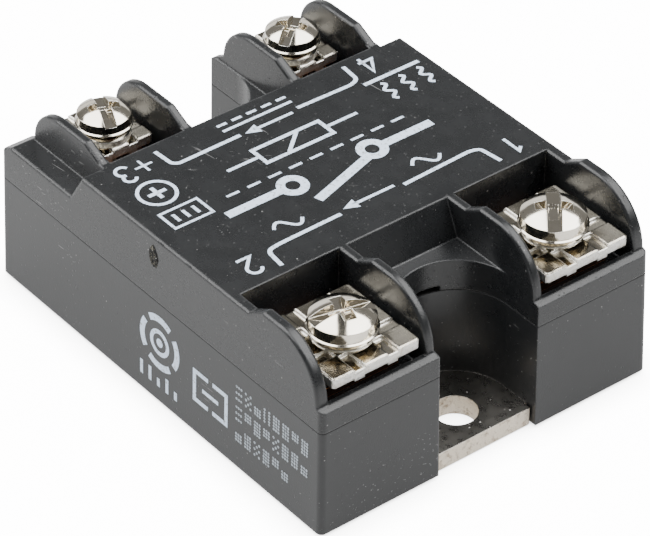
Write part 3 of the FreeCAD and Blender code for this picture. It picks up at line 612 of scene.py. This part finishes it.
LABEL_Z = 22.0
SIDE_Y = -22.8
TOP = Face("top_cover", (0, 0, 1), lambda a, b: (a, b, LABEL_Z))
SIDE = Face("lower_case", (0, -1, 0), lambda a, b: (a, SIDE_Y, b))
SIDE_COVER = Face("top_cover", (0, -1, 0), lambda a, b: (a, SIDE_Y, b))


def arc(a, b, radius, first, last, steps=16):
    """Points round part of a circle, between two angles in degrees."""
    angles = [math.radians(first + (last - first) * i / steps) for i in range(steps + 1)]
    return [(a + radius * math.cos(t), b + radius * math.sin(t)) for t in angles]


def rounded(points, radius, steps=6):
    """The same open line with each inner corner rounded."""
    made = [points[0]]
    for before, corner, after in zip(points, points[1:], points[2:]):
        here = Vector(corner)
        back, on = Vector(before) - here, Vector(after) - here
        reach = min(radius, back.length * 0.45, on.length * 0.45)
        first, last = here + back.normalized() * reach, here + on.normalized() * reach
        for i in range(steps + 1):
            t = i / steps
            spot = first * (1 - t) ** 2 + here * 2 * t * (1 - t) + last * t * t
            made.append(tuple(spot))
    return made + [points[-1]]


def offsets(points, width, closed):
    """The two edges of a stroke along a line of points, mitred at its corners."""
    count = len(points)
    left, right = [], []
    for i in range(count):
        before = points[i - 1] if i or closed else None
        after = points[(i + 1) % count] if i < count - 1 or closed else None
        runs = []
        for start, end in ((before, points[i]), (points[i], after)):
            if start is not None and end is not None:
                runs.append((Vector(end) - Vector(start)).normalized())
        middle = sum(runs, Vector((0, 0))).normalized()
        across = Vector((-middle.y, middle.x))
        cosine = max(0.45, across.dot(Vector((-runs[0].y, runs[0].x))))
        reach = across * (width / 2 / cosine)
        left.append(Vector(points[i]) + reach)
        right.append(Vector(points[i]) - reach)
    return left, right


def add_slab(mesh, face, outline):
    """A thin closed slab with that outline on the face."""
    spots = [face.at(*p) for p in outline]
    top = [mesh.verts.new(p + face.outward * INK_ABOVE) for p in spots]
    low = [mesh.verts.new(p - face.outward * INK_BELOW) for p in spots]
    count = len(outline)
    mesh.faces.new(top)
    mesh.faces.new(list(reversed(low)))
    for i in range(count):
        j = (i + 1) % count
        mesh.faces.new((top[j], top[i], low[i], low[j]))


def add_stroke(mesh, face, points, width=STROKE, closed=False, level=0):
    """A thin closed ribbon along a line on the face. One that crosses another has its own level."""
    left, right = offsets(points, width, closed)
    above = INK_ABOVE + INK_STEP * level
    rows = []
    for a, b in zip(left, right):
        spots = (face.at(*a), face.at(*b))
        rows.append(
            [mesh.verts.new(p + face.outward * above) for p in spots]
            + [mesh.verts.new(p - face.outward * INK_BELOW) for p in reversed(spots)]
        )
    pairs = list(zip(rows, rows[1:]))
    if closed:
        pairs.append((rows[-1], rows[0]))
    else:
        mesh.faces.new(rows[0])
        mesh.faces.new(list(reversed(rows[-1])))
    for here, there in pairs:
        for i in range(4):
            j = (i + 1) % 4
            mesh.faces.new((here[j], here[i], there[i], there[j]))


def add_dot(mesh, face, a, b, radius, sides=12):
    add_slab(mesh, face, arc(a, b, radius, 0, 360 * (sides - 1) / sides, sides - 1))


def housing_piece(name, mesh, finish):
    """The finished mesh as a piece that moves with the housing."""
    bmesh.ops.recalc_face_normals(mesh, faces=mesh.faces)
    data = bpy.data.meshes.new(name)
    mesh.to_mesh(data)
    mesh.free()
    data.materials.append(finish)
    piece = link(name, data)
    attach(piece, "housing")
    return piece


def printed(name, finish, draw):
    """One printed piece: draw(mesh) adds its slabs and ribbons."""
    mesh = bmesh.new()
    draw(mesh)
    housing_piece(name, mesh, finish)


# Plain digits as strokes, one unit high.
GLYPHS = {
    "1": [[(0.10, 0.80), (0.34, 1.00), (0.34, 0.0)]],
    "2": [arc(0.31, 0.70, 0.28, 165, -38, 14) + [(0.03, 0.02), (0.62, 0.02)]],
    "3": [
        arc(0.29, 0.745, 0.245, 160, -85, 12),
        arc(0.29, 0.270, 0.275, 85, -160, 14),
    ],
    "4": [[(0.66, 0.26), (0.02, 0.26), (0.48, 1.0), (0.48, 0.0)]],
    "plus": [[(0.0, 0.45), (0.7, 0.45)], [(0.35, 0.10), (0.35, 0.80)]],
}


def glyph_strokes(name, corner, height):
    """A digit's strokes on the top. It reads towards -Y, and its top is towards +X."""
    x, y = corner
    return [[(x + v * height, y - u * height) for u, v in line] for line in GLYPHS[name]]


TERMINAL_MARKS = (
    ("1", (8.95, 19.45), 2.75),
    ("2", (8.70, -16.30), 2.95),
    ("plus", (-12.64, -14.43), 3.2),
    ("3", (-12.45, -17.20), 2.95),
    ("4", (-12.90, 17.00), 2.95),
)

BRACKETS = (
    [(8.82, 4.58), (8.44, 14.2), (8.83, 15.3), (11.89, 15.71)],
    [(8.83, -4.12), (8.97, -12.46), (9.17, -14.3), (12.12, -14.64)],
    [(-12.55, -13.06), (-9.71, -12.9), (-9.21, -12.25), (-9.3, -3.81)],
    [(-9.6, 4.32), (-9.43, 11.99), (-9.94, 13.11), (-12.76, 13.36)],
)


def draw_terminal_marks(mesh):
    for name, corner, height in TERMINAL_MARKS:
        for level, line in enumerate(glyph_strokes(name, corner, height)):
            add_stroke(mesh, TOP, line, 0.30 if name == "plus" else 0.40, level=level)
    for line in BRACKETS:
        add_stroke(mesh, TOP, rounded(line, 1.2), 0.50)


def draw_output_signs(mesh):
    """An arrow out between the output brackets, and an alternating-current sign on each side."""
    add_stroke(mesh, TOP, [(8.3, 3.6), (8.3, -2.2)], 0.40)
    add_slab(mesh, TOP, [(9.1, -1.6), (8.3, -3.4), (7.5, -1.6)])
    for y in (9.4, -9.6):
        wave = [(6.7 + 0.85 * math.sin(t * math.pi / 8), y + 1.9 - t * 0.2375) for t in range(17)]
        add_stroke(mesh, TOP, wave, 0.40)


def draw_input_signs(mesh):
    """An arrow in between the input brackets, and the direct-current sign beside it."""
    add_stroke(mesh, TOP, [(-9.2, 3.4), (-9.2, -2.0)], 0.40)
    add_slab(mesh, TOP, [(-8.4, -1.4), (-9.2, -3.2), (-10.0, -1.4)])
    add_stroke(mesh, TOP, [(-11.0, 4.6), (-11.0, -4.9)], 0.40)
    for i in range(5):
        y = 4.6 - i * 2.05
        add_stroke(mesh, TOP, [(-12.1, y), (-12.1, y - 1.3)], 0.40)


def draw_contact_symbol(mesh):
    """A bold open-contact symbol: two leads, two round contacts and the lifted arm."""
    add_stroke(mesh, TOP, [(1.6, 14.4), (1.6, 7.6)], 1.15)
    add_stroke(mesh, TOP, [(1.6, -6.6), (1.6, -13.9)], 1.15)
    for y in (6.0, -5.0):
        add_stroke(mesh, TOP, arc(1.6, y, 1.35, 0, 350, 28), 1.0, closed=True, level=2)
    add_stroke(mesh, TOP, [(2.4, 4.9), (5.3, -4.4)], 1.15, level=1)


def draw_drive_symbol(mesh):
    """A coil box, its leads and a dashed line, between the contact symbol and the input."""
    add_stroke(mesh, TOP, [(-6.2, 4.6), (-6.2, -4.6), (-3.4, -4.6), (-3.4, 4.6)], 0.50, closed=True)
    add_stroke(mesh, TOP, [(-6.0, 1.4), (-3.6, -1.4)], 0.45, level=1)
    add_stroke(mesh, TOP, [(-4.8, 9.0), (-4.8, 4.8)], 0.45)
    add_stroke(mesh, TOP, [(-4.8, -4.8), (-4.8, -9.0)], 0.45)
    for i in range(9):
        y = 12.6 - i * 2.85
        add_stroke(mesh, TOP, [(-1.1, y), (-1.1, y - 1.7)], 0.36)


def draw_corner_signs(mesh):
    """Heat waves over a bar at one corner, and a ring and a rounded square at the other."""
    for i in range(3):
        y = 19.8 - i * 2.6
        wave = [(-7.6 + t * 0.21, y + 0.42 * math.sin(t * math.pi / 4)) for t in range(17)]
        add_stroke(mesh, TOP, wave, 0.42)
    add_stroke(mesh, TOP, [(-8.5, 20.8), (-8.5, 13.0)], 0.55)
    add_stroke(mesh, TOP, arc(-6.28, -17.37, 2.15, 0, 350, 32), 0.42, closed=True)
    add_stroke(mesh, TOP, [(-7.4, -17.37), (-5.2, -17.37)], 0.50)
    add_stroke(mesh, TOP, [(-6.28, -16.2), (-6.28, -18.5)], 0.50, level=1)
    square = [(-2.9, -14.6), (0.1, -14.6), (0.1, -19.6), (-2.9, -19.6)]
    add_stroke(mesh, TOP, square, 0.34, closed=True)
    for y in (-15.8, -17.1, -18.4):
        add_stroke(mesh, TOP, [(-2.1, y), (-0.7, y)], 0.40)


GATE_AT = (-0.15, 19.3)
GATE_REACH = (0.80, 1.45)
GATE_SIDES = 20
# Each ring's share of the reach, and how far out of the face it stands.
GATE_RINGS = ((1.0, -0.04), (0.95, 0.02), (0.7, 0.07), (0.4, 0.03))


def make_gate_scar(finish):
    """The broken-off moulding gate on the side of the cover: a low ragged disc."""
    rng = random.Random(3)
    mesh = bmesh.new()
    centre = SIDE_COVER.at(*GATE_AT)
    along, up = GATE_REACH
    rows = []
    for share, out in GATE_RINGS:
        row = []
        for i in range(GATE_SIDES):
            t = math.tau * i / GATE_SIDES
            reach = share * rng.uniform(0.80, 1.15)
            lift = out + rng.uniform(-0.02, 0.06) * (share < 0.9)
            shift = Vector((along * reach * math.cos(t), -lift, up * reach * math.sin(t)))
            row.append(mesh.verts.new(centre + shift * MM))
        rows.append(row)
    for outer, inner in zip(rows, rows[1:]):
        for i in range(GATE_SIDES):
            j = (i + 1) % GATE_SIDES
            mesh.faces.new((outer[i], outer[j], inner[j], inner[i]))
    mesh.faces.new(rows[-1])
    mesh.faces.new(list(reversed(rows[0])))
    housing_piece("gate_scar", mesh, finish)


SIDE_RING_AT = (0.91, 8.46)


def draw_side_ring(mesh):
    """A ring of four arcs round a dot, with a row of bars under it."""
    for i in range(4):
        start = 45 + 90 * i + 10
        add_stroke(mesh, SIDE, arc(*SIDE_RING_AT, 3.15, start, start + 70, 10), 0.85)
    add_stroke(mesh, SIDE, arc(*SIDE_RING_AT, 1.45, 0, 345, 24), 0.55, closed=True)
    add_dot(mesh, SIDE, *SIDE_RING_AT, 0.55, 14)
    for i, height in enumerate((1.9, 1.9, 1.1, 1.9, 1.1)):
        x = -2.4 + i * 1.55
        add_stroke(mesh, SIDE, [(x, 2.4), (x, 2.4 + height)], 0.50)


def draw_side_brackets(mesh):
    """Two plain nested frames."""
    outer = [(9.6, 4.9), (7.2, 4.9), (7.2, 8.7), (9.6, 8.7)]
    inner = [(10.4, 8.7), (12.8, 8.7), (12.8, 4.9), (10.4, 4.9)]
    add_stroke(mesh, SIDE, outer, 0.55)
    add_stroke(mesh, SIDE, inner, 0.55)
    add_stroke(mesh, SIDE, [(8.6, 6.8), (11.4, 6.8)], 0.50)


# The dot patterns of the side code's cells, three columns by five rows.
CODE_CELLS = (
    lambda i, j: True,
    lambda i, j: (i + j) % 2 == 0,
    lambda i, j: j % 2 == 0,
    lambda i, j: j < 3,
    lambda i, j: j > 1,
    lambda i, j: i != 1,
)


def draw_side_code(mesh):
    """Three rows of small dot blocks, as dense as a dot-matrix date code, that spell nothing."""
    rng = random.Random(7)
    pitch, start = 0.40, 14.6
    for cells, low in ((8, 9.6), (8, 6.9), (6, 4.1)):
        for cell in range(cells):
            shown = rng.choice(CODE_CELLS)
            for i in range(3):
                for j in range(5):
                    if shown(i, j):
                        along = start + (cell * 4 + i) * pitch
                        add_dot(mesh, SIDE, along, low + j * pitch, 0.17, 8)


def make_prints(finishes):
    ink, etch = finishes["ink"], finishes["etch"]
    printed("terminal_marks", ink, draw_terminal_marks)
    printed("output_signs", ink, draw_output_signs)
    printed("input_signs", ink, draw_input_signs)
    printed("contact_symbol", ink, draw_contact_symbol)
    printed("drive_symbol", ink, draw_drive_symbol)
    printed("corner_signs", ink, draw_corner_signs)
    printed("side_ring", ink, draw_side_ring)
    printed("side_brackets", ink, draw_side_brackets)
    printed("side_code", etch, draw_side_code)
    make_gate_scar(finishes["scar"])


# ------------------------------------------------------------------ floor

FLOOR_GAP = 0.00003  # keeps the floor clear of the base plate's underside
FLOOR_HALF = 4.0


def make_floor():
    finish = Finish("floor")
    # For camera rays the floor glows evenly bright, dimmed by ambient occlusion near the object: a
    # painted contact shadow, also seen through the base plate's hole.
    seen = finish.node("ShaderNodeLightPath").outputs["Is Camera Ray"]
    painted_shadow_ao = finish.node(
        "ShaderNodeAmbientOcclusion", {"Distance": 0.004}, samples=6
    ).outputs["AO"]
    tone = finish.noise(3.0, 2.0)
    finish.surface(
        Base_Color=finish.blend(tone, (0.38, 0.38, 0.38, 1), (0.41, 0.41, 0.41, 1)),
        Roughness=finish.remap(tone, 0.3, 0.7, 0.6, 0.7),
        Emission_Color=(1.0, 1.0, 0.995, 1.0),
        Emission_Strength=finish.remap(
            finish.sum(seen, painted_shadow_ao, "MULTIPLY"), 0.0, 1.0, 0.75, 14.0
        ),
    )
    data = bpy.data.meshes.new("floor")
    half = FLOOR_HALF
    low = cad_box[0].z - FLOOR_GAP
    data.from_pydata(
        [(-half, -half, low), (half, -half, low), (half, half, low), (-half, half, low)],
        [],
        [(0, 1, 2, 3)],
    )
    data.materials.append(finish.material)
    link("floor", data)


make_camera()
make_studio()
FINISHES = make_finishes()
dress_nodes(FINISHES)
make_prints(FINISHES)
make_floor()
